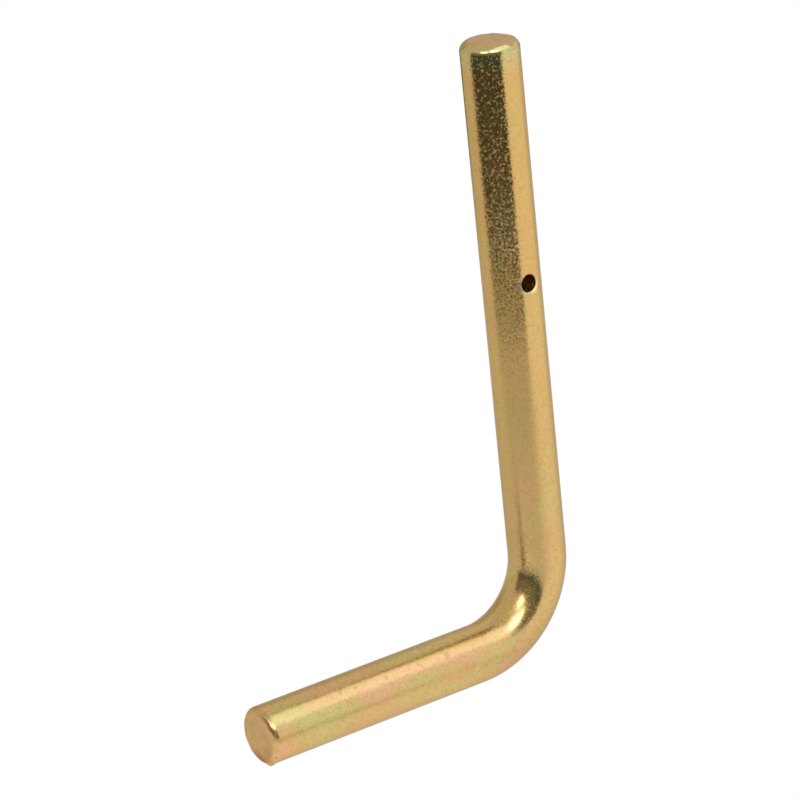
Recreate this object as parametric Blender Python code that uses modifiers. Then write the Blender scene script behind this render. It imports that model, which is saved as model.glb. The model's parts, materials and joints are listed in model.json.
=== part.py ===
"""Bent stay pin: a length of round steel bar, bent once to a right angle and cross-drilled for a split pin.

The long leg stands on +Z and the short leg runs out along -X, so the bar's centreline lies in the XZ plane.
The origin is on the long leg's axis, at the middle of the cross-hole. Lengths are in metres.
Run it with: blender --background --python part.py
"""

import math

import bmesh
import bpy
from mathutils import Vector

# The bar and its bend. A leg's length runs from the corner where the two centrelines cross to the end face.
BAR_DIAMETER = 0.012
LONG_LEG = 0.1252
SHORT_LEG = 0.0709
LEG_ANGLE = math.radians(90)
BEND_INSIDE_RADIUS = 0.0116
END_ROUNDING = 0.0014  # radius of the rolled edge that cropping and tumbling leave round each end face

# The cross-hole, square to the plane of the bend.
HOLE_DIAMETER = 0.0035
HOLE_FROM_END = 0.0491
COUNTERSINK = 0.0005  # depth of the 45 degree countersink, on the crest of the bar
DRILL_OVERRUN = 0.002  # how far the cutter stands out past the bar's surface

# How finely round shapes are divided.
BAR_SIDES = 64
BEND_STEPS = 20
ROUNDING_STEPS = 4
HOLE_SIDES = 40
AXIS_MERGE = 1e-5

# Plated finish: zinc with a yellow chromate film.
PLATE_COLOUR = (0.56, 0.36, 0.11, 1.0)
PLATE_ROUGHNESS = 0.28

BAR_RADIUS = BAR_DIAMETER / 2
BEND_RADIUS = BEND_INSIDE_RADIUS + BAR_RADIUS
CORNER = Vector((0, 0, HOLE_FROM_END - LONG_LEG))
ALONG_LONG = Vector((0, 0, 1))
ALONG_SHORT = Vector((-math.sin(LEG_ANGLE), 0, math.cos(LEG_ANGLE)))


def clear_scene():
    for obj in list(bpy.data.objects):
        bpy.data.objects.remove(obj)


def new_collection(name):
    collection = bpy.data.collections.new(name)
    bpy.context.scene.collection.children.link(collection)
    return collection


def plated_steel():
    """Zinc electroplate under a yellow chromate film."""
    material = bpy.data.materials.new("yellow_zinc_plate")
    material.use_nodes = True
    shader = material.node_tree.nodes["Principled BSDF"]
    shader.inputs["Base Color"].default_value = PLATE_COLOUR
    shader.inputs["Metallic"].default_value = 1.0
    shader.inputs["Roughness"].default_value = PLATE_ROUGHNESS
    return material


def centreline():
    """The bar's middle line: down the long leg, round the bend and out along the short leg."""
    setback = BEND_RADIUS / math.tan(LEG_ANGLE / 2)
    bend_turn = math.pi - LEG_ANGLE
    bend_start = CORNER + ALONG_LONG * setback
    inwards = Vector((-1, 0, 0))
    bend_centre = bend_start + inwards * BEND_RADIUS
    bend = []
    for step in range(BEND_STEPS + 1):
        turned = bend_turn * step / BEND_STEPS
        outwards = -inwards * math.cos(turned) - ALONG_LONG * math.sin(turned)
        bend.append(bend_centre + outwards * BEND_RADIUS)
    return [CORNER + ALONG_LONG * LONG_LEG, *bend, CORNER + ALONG_SHORT * SHORT_LEG]


def round_bar(name, points, collection):
    """A solid round bar along these points, as a mesh with closed flat ends."""
    curve = bpy.data.curves.new(name, "CURVE")
    curve.dimensions = "3D"
    curve.bevel_depth = BAR_RADIUS
    curve.bevel_resolution = (BAR_SIDES - 4) // 2
    curve.use_fill_caps = True
    spline = curve.splines.new("POLY")
    spline.points.add(len(points) - 1)
    for point, place in zip(spline.points, points):
        point.co = (*place, 1)
    guide = bpy.data.objects.new(name + "_guide", curve)
    collection.objects.link(guide)

    bpy.context.view_layer.update()
    graph = bpy.context.evaluated_depsgraph_get()
    mesh = bpy.data.meshes.new_from_object(guide.evaluated_get(graph))
    edit = bmesh.new()
    edit.from_mesh(mesh)
    bmesh.ops.remove_doubles(edit, verts=edit.verts, dist=AXIS_MERGE)
    bmesh.ops.recalc_face_normals(edit, faces=edit.faces)
    edit.to_mesh(mesh)
    edit.free()

    bar = bpy.data.objects.new(name, mesh)
    bar.matrix_world = guide.matrix_world
    collection.objects.link(bar)
    bpy.data.objects.remove(guide)
    return bar


def roll_the_end_edges(bar):
    """Rounds the rim of both end faces. The bar's own facets meet far below the angle limit."""
    rounding = bar.modifiers.new("rolled_ends", "BEVEL")
    rounding.width = END_ROUNDING
    rounding.segments = ROUNDING_STEPS
    rounding.limit_method = "ANGLE"
    rounding.angle_limit = math.radians(60)


def drill(collection):
    """The cross-hole as a turned solid along Y, flared at both ends by the countersinks."""
    hole_radius = HOLE_DIAMETER / 2
    flare_start = BAR_RADIUS - COUNTERSINK
    tip = BAR_RADIUS + DRILL_OVERRUN
    flare_radius = hole_radius + tip - flare_start
    profile = [
        (0, tip),
        (flare_radius, tip),
        (hole_radius, flare_start),
        (hole_radius, -flare_start),
        (flare_radius, -tip),
        (0, -tip),
    ]
    mesh = bpy.data.meshes.new("drill")
    edges = [(i, i + 1) for i in range(len(profile) - 1)]
    mesh.from_pydata([(radius, 0, along) for radius, along in profile], edges, [])
    cutter = bpy.data.objects.new("drill", mesh)
    cutter.rotation_euler = (math.radians(90), 0, 0)
    turning = cutter.modifiers.new("turned", "SCREW")
    turning.steps = HOLE_SIDES
    turning.render_steps = HOLE_SIDES
    turning.use_merge_vertices = True
    turning.merge_threshold = AXIS_MERGE
    cutter.hide_render = True
    cutter.display_type = "WIRE"
    collection.objects.link(cutter)
    return cutter


def cut(piece, cutter):
    hole = piece.modifiers.new("cross_hole", "BOOLEAN")
    hole.operation = "DIFFERENCE"
    hole.object = cutter


def main():
    clear_scene()
    parts = new_collection("bent_stay_pin")
    cutters = new_collection("cutters")
    bar = round_bar("bent_bar", centreline(), parts)
    bar.data.shade_smooth()
    bar.data.set_sharp_from_angle(angle=math.radians(30))
    bar.data.materials.append(plated_steel())
    roll_the_end_edges(bar)
    cut(bar, drill(cutters))


main()
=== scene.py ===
# %% [markdown]
# # A bent stay pin in yellow-plated steel
#
# The object is one length of 12 mm round bar. It was cropped to length, its edges were rolled over in a
# tumbler, it was drilled for a split pin, bent once in a press, and then zinc plated and dipped in yellow
# chromate. This lesson makes it in the same order: a straight blank, its two cropped ends, the cross-hole,
# the bend, the finish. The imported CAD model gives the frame: where the bar's ends, its hole and its
# underside are.

import json
import math

import bmesh
import bpy
from mathutils import Matrix, Vector


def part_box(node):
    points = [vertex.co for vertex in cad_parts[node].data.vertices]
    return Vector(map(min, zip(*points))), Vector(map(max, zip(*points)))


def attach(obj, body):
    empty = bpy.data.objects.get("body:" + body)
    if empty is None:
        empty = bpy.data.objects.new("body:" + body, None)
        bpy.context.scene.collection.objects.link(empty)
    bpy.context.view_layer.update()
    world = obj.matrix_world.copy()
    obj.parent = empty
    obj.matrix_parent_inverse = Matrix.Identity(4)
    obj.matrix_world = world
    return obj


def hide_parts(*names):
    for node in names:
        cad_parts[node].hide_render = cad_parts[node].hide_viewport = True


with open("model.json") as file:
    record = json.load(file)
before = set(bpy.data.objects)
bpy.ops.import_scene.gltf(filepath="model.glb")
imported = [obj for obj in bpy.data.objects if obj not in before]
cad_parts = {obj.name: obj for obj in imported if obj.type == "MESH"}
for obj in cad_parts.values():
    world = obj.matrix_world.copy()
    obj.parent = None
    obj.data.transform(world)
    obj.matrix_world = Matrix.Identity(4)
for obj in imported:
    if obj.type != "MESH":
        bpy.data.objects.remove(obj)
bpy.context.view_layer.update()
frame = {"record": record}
mounts = {mount["name"]: Vector(mount["pos_m"]) for mount in frame["record"]["mounts"]}

# %% [markdown]
# ## Sizes
#
# What CAD has settled is read from the frame: the bar's diameter is the part's depth along Y, its free ends
# are the two flat mounts, and the hole is the mount at the origin. Only what the frame doesn't state is
# written here: the bend's inside radius, the drill, and the rolled edges that the tumbler leaves, which are
# rounder at the top than at the foot.

# %% Sizes of the bar, the bend and the hole
low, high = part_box("bent_bar")
BAR_RADIUS = (high.y - low.y) / 2
LONG_END = mounts["long_leg_end"].z
SHORT_END = mounts["short_leg_end"].x
CORNER = Vector((0, 0, low.z + BAR_RADIUS))  # where the two legs' centrelines cross
BEND_INSIDE_RADIUS = 0.0116
BEND_RADIUS = BEND_INSIDE_RADIUS + BAR_RADIUS  # to the centreline
BEND_START = CORNER.z + BEND_RADIUS
BLANK_FOOT = BEND_START - BEND_RADIUS * math.pi / 2 - (-SHORT_END - BEND_RADIUS)
HOLE_RADIUS = 0.00175
TOP_ROUNDING = 0.0019
FOOT_ROUNDING = 0.0014
print(f"bar {BAR_RADIUS * 2000:.1f} mm, blank {1000 * (LONG_END - BLANK_FOOT):.1f} mm long before bending")

# %% [markdown]
# ## The straight blank
#
# A bar is a turned shape. A beginner would add a cylinder, but its two long rows of faces can't bend and
# its rims are razor sharp. So half of the outline is drawn once, with many short steps along the bar and a
# quarter circle at each rim, and a Screw modifier turns it about Z. The face rings are there so that the
# cropped faces can be uneven.

# %% Draw half of the outline
SIDES = 144
RING_STEP = 0.0005
FACE_RINGS = 12
ROUNDING_RINGS = 8


def end_outline(rounding):
    """Points (radius, depth below the face) from the middle of an end face to the end of its rolled edge."""
    flat = BAR_RADIUS - rounding
    points = [(flat * ring / FACE_RINGS, 0.0) for ring in range(FACE_RINGS)]
    for ring in range(ROUNDING_RINGS):
        turn = math.pi / 2 * ring / ROUNDING_RINGS
        points.append((flat + rounding * math.sin(turn), rounding * (1 - math.cos(turn))))
    return points


def half_outline(top, foot):
    """Points (radius, height) from the middle of the top face, down the side, to the middle of the foot."""
    upper = [(radius, top - depth) for radius, depth in end_outline(TOP_ROUNDING)]
    lower = [(radius, foot + depth) for radius, depth in reversed(end_outline(FOOT_ROUNDING))]
    side_top, side_foot = top - TOP_ROUNDING, foot + FOOT_ROUNDING
    steps = round((side_top - side_foot) / RING_STEP)
    side = [(BAR_RADIUS, side_top + (side_foot - side_top) * step / steps) for step in range(steps + 1)]
    return upper + side + lower


outline = half_outline(LONG_END, BLANK_FOOT)
print("outline:", len(outline), "points")

# %% Turn it


def turned(name, outline, sides):
    """A closed solid of revolution about Z. The outline runs down its outer side, so its faces point out."""
    mesh = bpy.data.meshes.new(name)
    edges = [(i, i + 1) for i in range(len(outline) - 1)]
    mesh.from_pydata([(radius, 0, z) for radius, z in outline], edges, [])
    shape = bpy.data.objects.new(name, mesh)
    bpy.context.scene.collection.objects.link(shape)
    turning = shape.modifiers.new("turned", "SCREW")
    turning.steps = sides
    turning.render_steps = sides
    turning.use_merge_vertices = True
    turning.merge_threshold = 1e-6
    turning.use_smooth_shade = True
    return shape


def baked(shape):
    """The same object with its modifiers worked into a plain mesh."""
    graph = bpy.context.evaluated_depsgraph_get()
    mesh = bpy.data.meshes.new_from_object(shape.evaluated_get(graph))
    shape.modifiers.clear()
    shape.data = mesh
    return shape


bar = baked(turned("bent_bar_plated", outline, SIDES))
print("blank:", len(bar.data.vertices), "points")

# %% [markdown]
# ## What the cropping shear leaves
#
# A shear doesn't cut cleanly. It dishes the face a little, leaves it wavy where the steel tore, and drags a
# small lip out over one side of the rim, which the tumbler doesn't take off entirely. These are moves of
# the blank's own points, so they're part of the shape, and the lip shows in the outline.

# %% Rough the ends
FACE_WAVE = 0.00005
LIP_HEIGHT = 0.0004
LIP_DEPTH = 0.0018  # how far back from the face it reaches
LIP_HALF_WIDTH = math.radians(9)
LIP_PLACE = math.radians(-20)  # from +X, the outside of the bend


def rough_end(point, end, rounding, outwards):
    """Waves on the end face, fading out over the rolled edge."""
    depth = abs(point.z - end)
    if depth > rounding:
        return
    fade = 1 - depth / rounding
    wave = math.sin(point.x * 2100 + 1.3 * math.sin(point.y * 900)) + math.sin(point.y * 1500 + point.x * 700)
    point.z += outwards * FACE_WAVE * fade * wave / 2


def shear_lip(point):
    """A lip dragged out over the rim at the foot."""
    depth = point.z - BLANK_FOOT
    if not 0 <= depth <= LIP_DEPTH:
        return
    turn = abs(math.atan2(point.y, point.x) - LIP_PLACE) / LIP_HALF_WIDTH
    if turn >= 1:
        return
    along = math.sin(math.pi * (depth / LIP_DEPTH) ** 0.6)
    outwards = Vector((point.x, point.y, 0)).normalized()
    point += outwards * LIP_HEIGHT * along * (1 + math.cos(math.pi * turn)) / 2


for vertex in bar.data.vertices:
    rough_end(vertex.co, LONG_END, TOP_ROUNDING, 1)
    rough_end(vertex.co, BLANK_FOOT, FOOT_ROUNDING, -1)
    shear_lip(vertex.co)
print(f"blank after roughing: {1000 * bar.dimensions.z:.2f} mm long")

# %% [markdown]
# ## The cross-hole
#
# The hole is drilled before bending and takes a 3.2 mm split pin. Its mouths are broken by a small
# countersink that wear has rounded, so the drill is a turned shape too: straight in the middle, and flared
# in a curve at both ends. A Boolean cuts it out. Boolean edges shade well here because the blank is dense:
# its faces are under 0.6 mm.

# %% Draw the drill
FLARE = 0.00045
CLEAR = 0.002
DRILL_SIDES = 64
FLARE_STEPS = 8
DRILL_TURN = math.radians(1.7)  # so that its points don't line up with the bar's


def drill_outline():
    points = [(0.0, BAR_RADIUS + CLEAR), (HOLE_RADIUS + FLARE + CLEAR, BAR_RADIUS + CLEAR)]
    for step in range(1, FLARE_STEPS + 1):
        turn = math.pi / 2 * step / FLARE_STEPS
        points.append((HOLE_RADIUS + FLARE * (1 - math.sin(turn)), BAR_RADIUS - FLARE * (1 - math.cos(turn))))
    return points + [(radius, -z) for radius, z in reversed(points)]


drill = baked(turned("drill", drill_outline(), DRILL_SIDES))
drill.data.transform(Matrix.Rotation(math.radians(90), 4, "X") @ Matrix.Rotation(DRILL_TURN, 4, "Z"))
print("drill:", len(drill.data.vertices), "points")

# %% Drill the blank
cut = bar.modifiers.new("cross_hole", "BOOLEAN")
cut.operation = "DIFFERENCE"
cut.object = drill
baked(bar)
bpy.data.objects.remove(drill)
print("drilled:", len(bar.data.vertices), "points")

# %% [markdown]
# ## The bend
#
# Bending is a rule, so Geometry Nodes make it. A point above the bend stays. A point that reaches into the
# bend is taken back to where the bend starts and turned about the former's axis by its share of the angle,
# and what is beyond turns by the full angle. A cold bend also squeezes the bar a little between former and
# follower. The straight blank's coordinates are stored first, as an attribute, so that the finish follows
# the steel round the corner.

# %% A helper that adds a node


def add(tree, kind, settings=None, inputs=None, output=0, stops=()):
    """Adds one node with its settings, input values or links, and stops. Gives back one of its outputs."""
    node = tree.nodes.new(kind)
    for name, value in (settings or {}).items():
        setattr(node, name, value)
    for key, value in (inputs or {}).items():
        if isinstance(value, bpy.types.NodeSocket):
            tree.links.new(value, node.inputs[key])
        else:
            node.inputs[key].default_value = value
    for index, (position, colour) in enumerate(stops):
        if index > 1:
            node.color_ramp.elements.new(position)
        node.color_ramp.elements[index].position = position
        node.color_ramp.elements[index].color = colour
    return None if output is None else node.outputs[output]


SMOOTH = {"interpolation_type": "SMOOTHSTEP"}
COLOURS = {"data_type": "RGBA"}
MULTIPLY = {"operation": "MULTIPLY"}
MULTIPLY_ADD = {"operation": "MULTIPLY_ADD"}
SUBTRACT = {"operation": "SUBTRACT"}
MAXIMUM = {"operation": "MAXIMUM"}
ABSOLUTE = {"operation": "ABSOLUTE"}
print("seven settings that many nodes share, from", SMOOTH, "to", ABSOLUTE)

# %% The tree that bends


def bending_tree():
    tree = bpy.data.node_groups.new("press_bend", "GeometryNodeTree")
    face = tree.interface
    face.new_socket("Geometry", in_out="INPUT", socket_type="NodeSocketGeometry")
    for name in ("Bend Start", "Bend Radius", "Bend Angle", "Flattening"):
        face.new_socket(name, in_out="INPUT", socket_type="NodeSocketFloat")
    face.new_socket("Material", in_out="INPUT", socket_type="NodeSocketMaterial")
    face.new_socket("Geometry", in_out="OUTPUT", socket_type="NodeSocketGeometry")
    given = tree.nodes.new("NodeGroupInput").outputs

    place = add(tree, "GeometryNodeInputPosition")
    kept = add(tree, "GeometryNodeStoreNamedAttribute", {"data_type": "FLOAT_VECTOR", "domain": "POINT"},
               {"Geometry": given["Geometry"], "Name": "straight", "Value": place})
    split = tree.nodes.new("ShaderNodeSeparateXYZ")
    tree.links.new(place, split.inputs[0])
    x, y, z = split.outputs
    past = add(tree, "ShaderNodeMath", SUBTRACT, {0: given["Bend Start"], 1: z})
    turn_wanted = add(tree, "ShaderNodeMath", {"operation": "DIVIDE"}, {0: past, 1: given["Bend Radius"]})
    turn_some = add(tree, "ShaderNodeMath", MAXIMUM, {0: turn_wanted, 1: 0.0})
    turn = add(tree, "ShaderNodeMath", {"operation": "MINIMUM"}, {0: turn_some, 1: given["Bend Angle"]})
    height = add(tree, "ShaderNodeMath", MULTIPLY_ADD, {0: turn, 1: given["Bend Radius"], 2: z})

    share = add(tree, "ShaderNodeMath", {"operation": "DIVIDE"}, {0: turn, 1: given["Bend Angle"]})
    half_wave = add(tree, "ShaderNodeMath", MULTIPLY, {0: share, 1: math.pi})
    swell = add(tree, "ShaderNodeMath", {"operation": "SINE"}, {0: half_wave})
    squeeze = add(tree, "ShaderNodeMath", MULTIPLY, {0: swell, 1: given["Flattening"]})
    thinner = add(tree, "ShaderNodeMath", SUBTRACT, {0: 1.0, 1: squeeze})
    wider = add(tree, "ShaderNodeMath", MULTIPLY_ADD, {0: squeeze, 1: 0.5, 2: 1.0})
    in_plane = add(tree, "ShaderNodeMath", MULTIPLY, {0: x, 1: thinner})
    across = add(tree, "ShaderNodeMath", MULTIPLY, {0: y, 1: wider})

    start = add(tree, "ShaderNodeCombineXYZ", {}, {0: in_plane, 1: across, 2: height})
    former_x = add(tree, "ShaderNodeMath", MULTIPLY, {0: given["Bend Radius"], 1: -1.0})
    former = add(tree, "ShaderNodeCombineXYZ", {}, {0: former_x, 1: 0.0, 2: given["Bend Start"]})
    bent = add(tree, "ShaderNodeVectorRotate", {"rotation_type": "Y_AXIS"},
               {"Vector": start, "Center": former, "Angle": turn})
    moved = add(tree, "GeometryNodeSetPosition", {}, {"Geometry": kept, "Position": bent})
    real = add(tree, "GeometryNodeRealizeInstances", {}, {"Geometry": moved})
    painted = add(tree, "GeometryNodeSetMaterial", {}, {"Geometry": real, "Material": given["Material"]})
    add(tree, "NodeGroupOutput", {}, {0: painted}, output=None)
    return tree


def run_tree(piece, tree, values):
    """Puts the tree on the piece, sets its inputs by their identifiers and works it into a plain mesh."""
    modifier = piece.modifiers.new(tree.name, "NODES")
    modifier.node_group = tree
    for socket in tree.interface.items_tree:
        if socket.item_type == "SOCKET" and socket.in_out == "INPUT" and socket.name in values:
            modifier[socket.identifier] = values[socket.name]
    return baked(piece)


# %% [markdown]
# ## The finish: yellow-passivated zinc on drawn steel
#
# Electroplated zinc is a grey, slightly lumpy mirror. The yellow chromate dip lays a clear film over it,
# less than a thousandth of a millimetre thick, and where its thickness drifts the gold drifts to pink,
# orange or green. A clear coat over grey metal could show that, but one metal surface is enough, because
# the film only tints what the zinc reflects. Every pattern reads the place on the straight blank, in
# metres, so its scale is one over a real length, and the pattern runs along the steel and round the corner
# with it.

# %% Colour from hex


def linear(hex_colour):
    """An sRGB hex colour as linear red, green, blue and alpha."""
    parts = [int(hex_colour[i:i + 2], 16) / 255 for i in (1, 3, 5)]
    return (*[c / 12.92 if c <= 0.04045 else ((c + 0.055) / 1.055) ** 2.4 for c in parts], 1.0)


print("chromate gold, linear:", [round(value, 3) for value in linear("#C5A66F")[:3]])

# %% Start the material
# Zinc plate under a yellow chromate film: a soft gold mirror with sparkling grain and faint clouds.
plate = bpy.data.materials.new("yellow_zinc_on_drawn_steel")
plate.use_nodes = True
steel = plate.node_tree
shader = steel.nodes["Principled BSDF"]
shader.inputs["Metallic"].default_value = 1.0
shader.inputs["Specular Tint"].default_value = linear("#D6D6D0")  # zinc's edge stays grey, not white
place = add(steel, "ShaderNodeAttribute", {"attribute_name": "straight"}, output="Vector")
split = steel.nodes.new("ShaderNodeSeparateXYZ")
steel.links.new(place, split.inputs[0])
x, y, z = split.outputs
print("material:", plate.name)

# %% [markdown]
# ## The film's own colour
#
# The film's thickness follows how the bath drained, so its clouds are longer than they are wide, with finer
# streaks in them. A colour ramp reads cloud and streak together, from green through gold to pink. The long
# leg is more even, so the clouds are half as strong there as on the short leg. The free end is a little
# greener than the rest.

# %% Clouds and streaks
CLOUD = 0.0060
STREAK = 0.0014
along_bar = add(steel, "ShaderNodeVectorMath", MULTIPLY, {0: place, 1: (1.0, 1.0, 0.45)})
cloud = add(steel, "ShaderNodeTexNoise", {},
            {"Vector": along_bar, "Scale": 1 / CLOUD, "Detail": 2.0, "Distortion": 0.5})
streak = add(steel, "ShaderNodeTexNoise", {}, {"Vector": along_bar, "Scale": 1 / STREAK, "Detail": 3.0})
thickness = add(steel, "ShaderNodeMath", MULTIPLY_ADD, {0: streak, 1: 0.5, 2: cloud})
film_stops = [(0.58, linear("#B8AE72")), (0.69, linear("#BFA66E")),
              (0.79, linear("#C4A36C")), (0.92, linear("#CE9E7A"))]
film = add(steel, "ShaderNodeValToRGB", {}, {0: thickness}, stops=film_stops)
print("film:", len(film_stops), "colours, clouds of", CLOUD * 1000, "mm")

# %% Where the clouds show
on_short_leg = add(steel, "ShaderNodeMapRange", SMOOTH,
                   {"Value": z, "From Min": BEND_START, "From Max": BEND_START - 0.03})
film_shows = add(steel, "ShaderNodeMapRange", {}, {"Value": on_short_leg, "To Min": 0.42, "To Max": 0.85})
towards_end = add(steel, "ShaderNodeMapRange", {}, {"Value": z, "From Min": -0.050, "From Max": 0.010})
plain = add(steel, "ShaderNodeMix", COLOURS, {0: towards_end, 6: linear("#C5A66F"), 7: linear("#C5A161")}, 2)
body = add(steel, "ShaderNodeMix", COLOURS, {0: film_shows, 6: plain, 7: film}, 2)
near_tip = add(steel, "ShaderNodeMapRange", SMOOTH,
               {"Value": z, "From Min": LONG_END - 0.007, "From Max": LONG_END - 0.002, "To Max": 0.6})
gold = add(steel, "ShaderNodeMix", COLOURS, {0: near_tip, 6: body, 7: linear("#B5B686")}, 2)
print("green tip: the last 7 mm")

# %% [markdown]
# ## Fine mottling, and a painted reflection below the hole
#
# The grain of drawn and pickled steel is a few tenths of a millimetre. Here it is drawn at about half a
# millimetre, so that it shows. The film pools in its hollows, so they're browner, and the same noise says
# later which flecks are dull. Below the hole, on the side that faces the camera, brown mottling carries the
# bar's dark reflected band on down: a painted reflection. It is a second noise, drawn out across the bar and
# kept to that side.

# %% Grain hollows
FLECK = 0.00057
DARK_BAND_SIDE = (-0.67, -0.74, 0.0)  # the way out from the axis, towards the camera, to the side where the bar shows its dark reflected band
flecks = add(steel, "ShaderNodeTexNoise", {}, {"Vector": place, "Scale": 1 / FLECK, "Detail": 2.0})
hollow = add(steel, "ShaderNodeMapRange", SMOOTH,
             {"Value": flecks, "From Min": 0.56, "From Max": 0.34, "To Max": 0.45})
to_dark_band_side = add(steel, "ShaderNodeVectorMath", {"operation": "DOT_PRODUCT"},
                      {0: place, 1: DARK_BAND_SIDE}, "Value")
print("flecks of", FLECK * 1000, "mm")

# %% Painted reflection below the hole, drawn out round the bar
REFLECTION_MOTTLE = 0.00075
PAINTED_REFLECTION_HEIGHT = -0.010  # middle of the painted reflection's length, from the hole
round_bar = add(steel, "ShaderNodeVectorMath", MULTIPLY, {0: place, 1: (0.45, 0.45, 1.0)})
painted_reflection_mottle = add(steel, "ShaderNodeTexNoise", {},
            {"Vector": round_bar, "Scale": 1 / REFLECTION_MOTTLE, "Detail": 2.0, "Distortion": 0.3})
reflection_fleck = add(steel, "ShaderNodeMapRange", SMOOTH,
           {"Value": painted_reflection_mottle, "From Min": 0.50, "From Max": 0.36, "To Max": 0.6})
off_painted_reflection = add(steel, "ShaderNodeMath", SUBTRACT, {0: z, 1: PAINTED_REFLECTION_HEIGHT})
from_painted_reflection = add(steel, "ShaderNodeMath", ABSOLUTE, {0: off_painted_reflection})
below_hole = add(steel, "ShaderNodeMapRange", SMOOTH,
                 {"Value": from_painted_reflection, "From Min": 0.014, "From Max": 0.004})
painted_reflection_side = add(steel, "ShaderNodeMapRange", SMOOTH,
                  {"Value": to_dark_band_side, "From Min": 0.0035, "From Max": 0.0055})
painted_reflection_patch = add(steel, "ShaderNodeMath", MULTIPLY, {0: painted_reflection_side, 1: below_hole})
painted_reflection_shows = add(steel, "ShaderNodeMath", MULTIPLY, {0: reflection_fleck, 1: painted_reflection_patch})
darker = add(steel, "ShaderNodeMath", MAXIMUM, {0: hollow, 1: painted_reflection_shows})
# One brown serves both: the grain's hollows, which are the film's own colour, and the painted reflection.
mottled = add(steel, "ShaderNodeMix", COLOURS, {0: darker, 6: gold, 7: linear("#A8895A")}, 2)
print("marks of", REFLECTION_MOTTLE * 1000, "mm, 14 mm up and down from 10 mm below the hole")

# %% [markdown]
# ## Scuffs and stains on the short leg
#
# The short leg is the handle. It has pale scuffs where the film is rubbed thin, and small brown stains
# where the dip dried on it. One noise gives both: its low values are stains and its high values are scuffs,
# so they never overlap.

# %% Scuffs and stains
SPOT = 0.0026
spots = add(steel, "ShaderNodeTexNoise", {},
            {"Vector": place, "Scale": 1 / SPOT, "Detail": 3.0, "Roughness": 0.5})
stain = add(steel, "ShaderNodeMapRange", SMOOTH,
            {"Value": spots, "From Min": 0.36, "From Max": 0.28, "To Max": 0.5})
stain_shows = add(steel, "ShaderNodeMath", MULTIPLY, {0: stain, 1: on_short_leg})
stained = add(steel, "ShaderNodeMix", COLOURS, {0: stain_shows, 6: mottled, 7: linear("#A08248")}, 2)
scuff = add(steel, "ShaderNodeMapRange", SMOOTH,
            {"Value": spots, "From Min": 0.66, "From Max": 0.80, "To Max": 0.6})
scuff_shows = add(steel, "ShaderNodeMath", MULTIPLY, {0: scuff, 1: on_short_leg})
scuffed = add(steel, "ShaderNodeMix", COLOURS, {0: scuff_shows, 6: stained, 7: linear("#D2C8A8")}, 2)
print("scuffs and stains of about", SPOT * 1000, "mm")

# %% [markdown]
# ## The torn ends, the rubbed hole, and its painted highlight and shade
#
# The shear tears the end faces, so under the film they are tan and patchy. The split pin has rubbed the
# lower side of the hole's mouth pale. On the outer part of the lower rim the pale turns bright cream: a
# painted highlight, where the countersink catches the lamps. Inside, the hole is painted a darker, redder
# brown: painted shade in the bore. All of these are told apart by where a point is on the blank: its
# height, and its distance from the hole's axis.

# %% Torn end faces
top_face = add(steel, "ShaderNodeMapRange", {},
               {"Value": z, "From Min": LONG_END - 0.0006, "From Max": LONG_END - 0.0001})
foot_face = add(steel, "ShaderNodeMapRange", {},
                {"Value": z, "From Min": BLANK_FOOT + 0.0004, "From Max": BLANK_FOOT + 0.0001})
end_face = add(steel, "ShaderNodeMath", MAXIMUM, {0: top_face, 1: foot_face})
torn_stops = [(0.38, linear("#B4A064")), (0.50, linear("#C6A070")), (0.62, linear("#CFA078"))]
torn = add(steel, "ShaderNodeValToRGB", {}, {0: streak}, stops=torn_stops)
skin = add(steel, "ShaderNodeMix", COLOURS, {0: end_face, 6: scuffed, 7: torn}, 2)
print("end faces:", len(torn_stops), "colours")

# %% The mouth and the inside of the hole
from_hole = add(steel, "ShaderNodeCombineXYZ", {}, {0: x, 2: z})
from_axis = add(steel, "ShaderNodeVectorMath", {"operation": "LENGTH"}, {0: from_hole}, output="Value")
mouth = add(steel, "ShaderNodeMapRange", SMOOTH,
            {"Value": from_axis, "From Min": HOLE_RADIUS + 0.0010, "From Max": HOLE_RADIUS + 0.0004})
lower_side = add(steel, "ShaderNodeMapRange", {},
                 {"Value": z, "From Min": 0.0010, "From Max": -0.0012, "To Max": 0.8})
bend_side = add(steel, "ShaderNodeMapRange", {},
                {"Value": x, "From Min": -0.0008, "From Max": -0.0018, "To Max": 0.75})
rubbed_and_highlit_sides = add(steel, "ShaderNodeMath", MAXIMUM, {0: lower_side, 1: bend_side})
rubbed_and_highlit_mouth = add(steel, "ShaderNodeMath", MULTIPLY, {0: mouth, 1: rubbed_and_highlit_sides})
# Towards the outside of the bend the rub turns bright cream: a painted highlight on the lower rim.
towards_highlight = add(steel, "ShaderNodeMapRange", {}, {"Value": x, "From Min": 0.0002, "From Max": 0.0014})
rub_and_highlight_colour = add(steel, "ShaderNodeMix", COLOURS,
                 {0: towards_highlight, 6: linear("#B4A888"), 7: linear("#EED9A0")}, 2)
worn_and_highlit = add(steel, "ShaderNodeMix", COLOURS, {0: rubbed_and_highlit_mouth, 6: skin, 7: rub_and_highlight_colour}, 2)
# The inside of the hole is painted a darker, redder brown: painted shade in the bore.
inside = add(steel, "ShaderNodeMapRange", SMOOTH,
             {"Value": from_axis, "From Min": HOLE_RADIUS + 0.00010, "From Max": HOLE_RADIUS})
coat = add(steel, "ShaderNodeMix", COLOURS, {0: inside, 6: worn_and_highlit, 7: linear("#9A6A4A")}, 2)
print("hole: worn to", HOLE_RADIUS * 1000 + 1.0, "mm from its axis")

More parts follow.
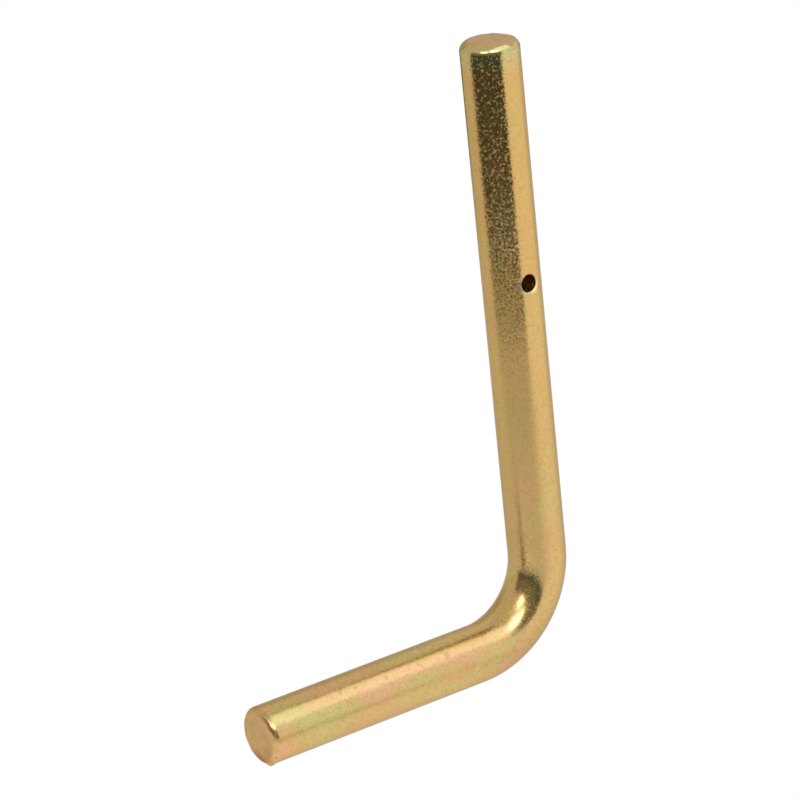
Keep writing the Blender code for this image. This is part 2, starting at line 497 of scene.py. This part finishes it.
# %% Pale grey flecks above the hole: painted glints
# On the side that faces the camera, just above the hole, the flecks of the grain are painted pale grey:
# painted glints in the bar's dark reflected band.
GREY_HEIGHT = 0.0105  # middle of the grey patch, from the hole
fleck = add(steel, "ShaderNodeMapRange", SMOOTH, {"Value": flecks, "From Min": 0.49, "From Max": 0.71})
off_grey = add(steel, "ShaderNodeMath", SUBTRACT, {0: z, 1: GREY_HEIGHT})
from_grey = add(steel, "ShaderNodeMath", ABSOLUTE, {0: off_grey})
grey_band = add(steel, "ShaderNodeMapRange", SMOOTH,
                {"Value": from_grey, "From Min": 0.0080, "From Max": 0.002, "To Max": 0.5})
grey_side = add(steel, "ShaderNodeMapRange", SMOOTH,
                {"Value": to_dark_band_side, "From Min": 0.0050, "From Max": 0.0057})
painted_glint_patch = add(steel, "ShaderNodeMath", MULTIPLY, {0: grey_band, 1: grey_side})
painted_glints = add(steel, "ShaderNodeMath", MULTIPLY, {0: painted_glint_patch, 1: fleck})
colour = add(steel, "ShaderNodeMix", COLOURS, {0: painted_glints, 6: coat, 7: linear("#CFCAB8")}, 2)
steel.links.new(colour, shader.inputs["Base Color"])
print("grey patch: 8 mm up and down from 10.5 mm above the hole")

# %% [markdown]
# ## The grain
#
# Zinc grows thicker on high points, so the grain is a field of tiny mirrors, each tilted its own way. A
# Bump node could tilt them, but its strength depends on how large they're drawn. Here a colour noise is
# read as a small vector and added to the normal, which gives the same lean at any distance. Hands have
# smoothed the grain on the lower half of the long leg, it is whole by the free end, and stretching brought
# it up again where the bend begins.

# %% How much grain there is
top_grain = add(steel, "ShaderNodeMapRange", SMOOTH,
                {"Value": z, "From Min": -0.030, "From Max": 0.012, "To Min": 0.30, "To Max": 1.0})
off_bend = add(steel, "ShaderNodeMath", SUBTRACT, {0: z, 1: BEND_START + 0.001})
from_bend = add(steel, "ShaderNodeMath", ABSOLUTE, {0: off_bend})
stretched = add(steel, "ShaderNodeMapRange", SMOOTH,
                {"Value": from_bend, "From Min": 0.010, "From Max": 0.002, "To Max": 0.9})
grain = add(steel, "ShaderNodeMath", MAXIMUM, {0: top_grain, 1: stretched})
off_rim = add(steel, "ShaderNodeMapRange", SMOOTH,
              {"Value": z, "From Min": LONG_END - 0.0012, "From Max": LONG_END - 0.0021})
off_ends = add(steel, "ShaderNodeMath", SUBTRACT, {0: off_rim, 1: end_face})
on_sides = add(steel, "ShaderNodeMath", MAXIMUM, {0: off_ends, 1: 0.0})
kept_grain = add(steel, "ShaderNodeMath", MULTIPLY, {0: grain, 1: on_sides})
print("grain: 30% on the gripped part, 100% by the free end")

# %% Lean the surface
LUMP = 0.00045
LEAN = 0.20
lumps = add(steel, "ShaderNodeTexNoise", {}, {"Vector": place, "Scale": 1 / LUMP, "Detail": 1.0}, "Color")
lean = add(steel, "ShaderNodeVectorMath", SUBTRACT, {0: lumps, 1: (0.5, 0.5, 0.5)})
slope = add(steel, "ShaderNodeMath", MULTIPLY, {0: kept_grain, 1: LEAN})
leaning = add(steel, "ShaderNodeVectorMath", {"operation": "SCALE"}, {0: lean, "Scale": slope})
upright = add(steel, "ShaderNodeNewGeometry", output="Normal")
leant = add(steel, "ShaderNodeVectorMath", {"operation": "ADD"}, {0: upright, 1: leaning})
normal = add(steel, "ShaderNodeVectorMath", {"operation": "NORMALIZE"}, {0: leant})
steel.links.new(normal, shader.inputs["Normal"])
print("lumps of", LUMP * 1000, "mm")

# %% [markdown]
# ## How dull each part is
#
# Bright zinc has a roughness of about 0.15. Dull flecks in the grain catch light from all round and break
# up the dark reflections. The gripped part of the long leg, the stretched start of the bend, the handled
# short leg, the torn ends and the dry hole are each duller by their own amount, and the amounts are simply
# added up.

# %% Roughness
BRIGHT_ZINC = 0.15
FLECK_DULL = 0.38
GRIP_HEIGHT = -0.040  # middle of the gripped length, from the hole
fleck_shows = add(steel, "ShaderNodeMath", MULTIPLY, {0: fleck, 1: kept_grain})
fleck_dull = add(steel, "ShaderNodeMath", MULTIPLY_ADD, {0: fleck_shows, 1: FLECK_DULL, 2: BRIGHT_ZINC})
off_grip = add(steel, "ShaderNodeMath", SUBTRACT, {0: z, 1: GRIP_HEIGHT})
from_grip = add(steel, "ShaderNodeMath", ABSOLUTE, {0: off_grip})
grip_dull = add(steel, "ShaderNodeMapRange", SMOOTH,
                {"Value": from_grip, "From Min": 0.024, "From Max": 0.012, "To Max": 0.14})
rough = add(steel, "ShaderNodeMath", {"operation": "ADD"}, {0: grip_dull, 1: fleck_dull})
for where, extra in ((stretched, 0.04), (on_short_leg, 0.08), (end_face, 0.12), (inside, 0.30)):
    rough = add(steel, "ShaderNodeMath", MULTIPLY_ADD, {0: where, 1: extra, 2: rough})
steel.links.new(rough, shader.inputs["Roughness"])
print("finish:", plate.name, "with", len(steel.nodes), "nodes")

# %% [markdown]
# ## Bend it and tie it to the frame
#
# The tree, its sizes and the finish come together here. The bent mesh is plain and has its place in its
# points, so the object sits at the origin. Its roundings are shaded smooth, and only the rims of the hole's
# two mouths are sharp. It rides the part's one body, and stands in for the CAD bar.

# %% Bend the blank and give it its place
BEND_ANGLE = math.pi / 2
FLATTENING = 0.02  # how much thinner the bar gets in the middle of the bend
SHARP_ANGLE = math.radians(40)
bend_values = {"Bend Start": BEND_START, "Bend Radius": BEND_RADIUS, "Bend Angle": BEND_ANGLE,
               "Flattening": FLATTENING, "Material": plate}
run_tree(bar, bending_tree(), bend_values)
bar.data.shade_smooth()
bar.data.set_sharp_from_angle(angle=SHARP_ANGLE)
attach(bar, "root")
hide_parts("bent_bar")
print("bent:", len(bar.data.vertices), "points,", [round(v * 1000, 1) for v in bar.dimensions], "mm")

# %% [markdown]
# ## Studio
#
# A metal bar is a mirror, so most of its look is the room. The room is a light tent: a round shell of pale
# cloth, lit by panels, with a dark opening at the front. The shell glows, and each pane of it is a
# soft-edged window in azimuth and elevation. Real lamps would do too, but a pane shows its own shape in the
# metal, and that is what gives a bar its bands. The camera doesn't see the shell, only its reflections. The
# floor is plain and white to the camera. What the bar reflects of it is a second sheet at the same height,
# brighter on the right and dim far away.

# %% A glow with panes in it


def glow(name, ground, panes):
    """An emission of colour `ground`, with panes laid over it. A later pane covers the earlier ones."""
    material = bpy.data.materials.new(name)
    material.use_nodes = True
    tree = material.node_tree
    tree.nodes.clear()
    split = tree.nodes.new("ShaderNodeSeparateXYZ")
    tree.links.new(add(tree, "ShaderNodeTexCoord", output="Object"), split.inputs[0])
    x, y, z = split.outputs
    front = add(tree, "ShaderNodeMath", MULTIPLY, {0: y, 1: -1.0})
    turn = add(tree, "ShaderNodeMath", {"operation": "ARCTAN2"}, {0: x, 1: front})
    azimuth = add(tree, "ShaderNodeMath", {"operation": "DEGREES"}, {0: turn})
    flat = add(tree, "ShaderNodeCombineXYZ", {}, {0: x, 1: y})
    distance = add(tree, "ShaderNodeVectorMath", {"operation": "LENGTH"}, {0: flat}, output="Value")
    lift = add(tree, "ShaderNodeMath", {"operation": "ARCTAN2"}, {0: z, 1: distance})
    elevation = add(tree, "ShaderNodeMath", {"operation": "DEGREES"}, {0: lift})
    places = {"azimuth": azimuth, "elevation": elevation, "distance": distance, "x": x, "y": y}
    colour = ground
    for first, across, second, up, softness, radiance, tint in panes:
        share = None
        for name_of, (start, end), soft in ((first, across, softness[0]), (second, up, softness[1])):
            for edge, sign in ((start, 1), (end, -1)):
                step = add(tree, "ShaderNodeMapRange", SMOOTH,
                           {"Value": places[name_of], "From Min": edge - sign * soft,
                            "From Max": edge + sign * soft})
                if share is not None:
                    step = add(tree, "ShaderNodeMath", MULTIPLY, {0: share, 1: step})
                share = step
        lit = (*[channel * radiance for channel in linear(tint)[:3]], 1.0)
        colour = add(tree, "ShaderNodeMix", COLOURS, {0: share, 6: colour, 7: lit}, 2)
    light = add(tree, "ShaderNodeEmission", {}, {"Color": colour})
    add(tree, "ShaderNodeOutputMaterial", {}, {"Surface": light}, output=None)
    return material


# %% The light tent
TENT_RADIUS = 1.2
tent_panes = [
    # front right and above: the big overhead panel, then the two bright lamps in it
    ("azimuth", (-42, 66), "elevation", (32, 65), (8, 5), 2.1, "#F2FBFF"),
    ("azimuth", (0, 84), "elevation", (50, 74), (8, 5), 1.9, "#F6FFFF"),
    ("azimuth", (-78, -42), "elevation", (32, 57), (6, 5), 1.35, "#FFFFF6"),
    ("azimuth", (-31, -1), "elevation", (34, 52), (3, 3), 5.6, "#FFFCFF"),
    ("azimuth", (-72, -49), "elevation", (32, 46), (3, 3), 5.2, "#FFFCFF"),
    # right: a wide diffuser
    ("azimuth", (9, 66), "elevation", (-90, 40), (4, 6), 1.34, "#FAFFFF"),
    ("azimuth", (60, 120), "elevation", (-90, 34), (12, 6), 1.15, "#FFFFFF"),
    # back: the plain cloth, with a dimmer corner
    ("azimuth", (100, 172), "elevation", (0, 62), (12, 6), 1.0, "#FFFBF4"),
    ("azimuth", (150, 190), "elevation", (8, 34), (8, 6), 0.70, "#FFF8E0"),
    ("azimuth", (-190, -165), "elevation", (8, 34), (8, 6), 0.62, "#FFF6D8"),
    # front left: the dark opening, a little lighter in its upper half
    ("azimuth", (-112, 7), "elevation", (-60, 28), (4, 4), 0.13, "#F8FFF0"),
    ("azimuth", (-110, 6), "elevation", (7, 28), (4, 6), 0.30, "#FFF8E4"),
]


def tent():
    mesh = bpy.data.meshes.new("light_tent")
    edit = bmesh.new()
    bmesh.ops.create_uvsphere(edit, u_segments=64, v_segments=32, radius=TENT_RADIUS)
    edit.to_mesh(mesh)
    edit.free()
    mesh.materials.append(glow("tent_cloth", (0.86, 0.84, 0.70, 1.0), tent_panes))
    shell = bpy.data.objects.new("light_tent", mesh)
    shell.location = CORNER
    shell.visible_camera = False
    bpy.context.scene.collection.objects.link(shell)


tent()
print("tent:", len(tent_panes), "panes")

# %% The floor and what the bar sees of it
FLOOR_GAP = 0.0002
FLOOR_HEIGHT = low.z - FLOOR_GAP
FLOOR_REACH = 6.0
sheet_panes = [
    ("azimuth", (-200, 200), "distance", (-1, 0.30), (1, 0.14), 1.02, "#FFFDF4"),
    ("azimuth", (-200, -118), "distance", (-1, 9), (8, 0.1), 0.98, "#FFFCF0"),
    ("x", (0.0, 9), "y", (-9, 0.28), (0.035, 0.2), 1.05, "#FFFFFF"),
    ("x", (0.0, 9), "y", (-9, -0.01), (0.035, 0.02), 1.36, "#FFFCF4"),
    ("azimuth", (-112, 5), "distance", (0.25, 9), (4, 0.12), 0.10, "#F8FFF0"),
    # a brighter pool in front of the short leg: painted light
    ("x", (-0.090, -0.012), "y", (-0.026, 0.0), (0.012, 0.010), 1.35, "#FFF8F4"),
    # a dim strip under the short leg: a painted contact shadow, which the bar's underside reflects
    ("x", (-0.074, -0.014), "y", (-0.001, 0.006), (0.006, 0.003), 0.6, "#E8C8A0"),
]


def sheet(name, material):
    mesh = bpy.data.meshes.new(name)
    r = FLOOR_REACH
    mesh.from_pydata([(-r, -r, 0), (r, -r, 0), (r, r, 0), (-r, r, 0)], [], [(0, 1, 2, 3)])
    mesh.materials.append(material)
    shape = bpy.data.objects.new(name, mesh)
    shape.location.z = FLOOR_HEIGHT
    bpy.context.scene.collection.objects.link(shape)
    return shape


floor = sheet("floor", glow("white_floor", (1.0, 1.0, 1.0, 1.0), []))
floor.visible_glossy = False
seen_floor = sheet("floor_in_reflections", glow("seen_floor", (0.42, 0.36, 0.27, 1.0), sheet_panes))
seen_floor.visible_camera = False
seen_floor.visible_diffuse = False
seen_floor.visible_shadow = False

world = bpy.data.worlds.new("studio")
world.use_nodes = True
world.node_tree.nodes["Background"].inputs["Color"].default_value = (1.0, 1.0, 1.0, 1.0)
bpy.context.scene.world = world
bpy.context.scene.view_settings.view_transform = "Standard"
print("floor at", round(FLOOR_HEIGHT * 1000, 1), "mm")

# %% [markdown]
# ## Camera
#
# A long lens from 0.8 m, in front of the bar and to its left, looks down by about 20 degrees and is rolled
# by 6, so that the long leg leans. It is placed from the corner of the bar: turned, tilted, rolled, and
# then moved back.

# %% Camera
BAR = BAR_RADIUS * 2
TURN, TILT, ROLL = math.radians(-33.48), math.radians(90 - 19.86), math.radians(-6.02)
BACK = Vector((-2.470, 3.900, 66.094)) * BAR
camera_data = bpy.data.cameras.new("camera")
camera_data.sensor_width = 36.0
camera_data.lens = 173.4
camera_data.clip_start = 0.01
camera = bpy.data.objects.new("camera", camera_data)
bpy.context.scene.collection.objects.link(camera)
facing = Matrix.Rotation(TURN, 4, "Z") @ Matrix.Rotation(TILT, 4, "X") @ Matrix.Rotation(ROLL, 4, "Z")
camera.matrix_world = Matrix.Translation(CORNER) @ facing @ Matrix.Translation(BACK)
bpy.context.scene.camera = camera
print("camera at", [round(value, 3) for value in camera.matrix_world.translation])
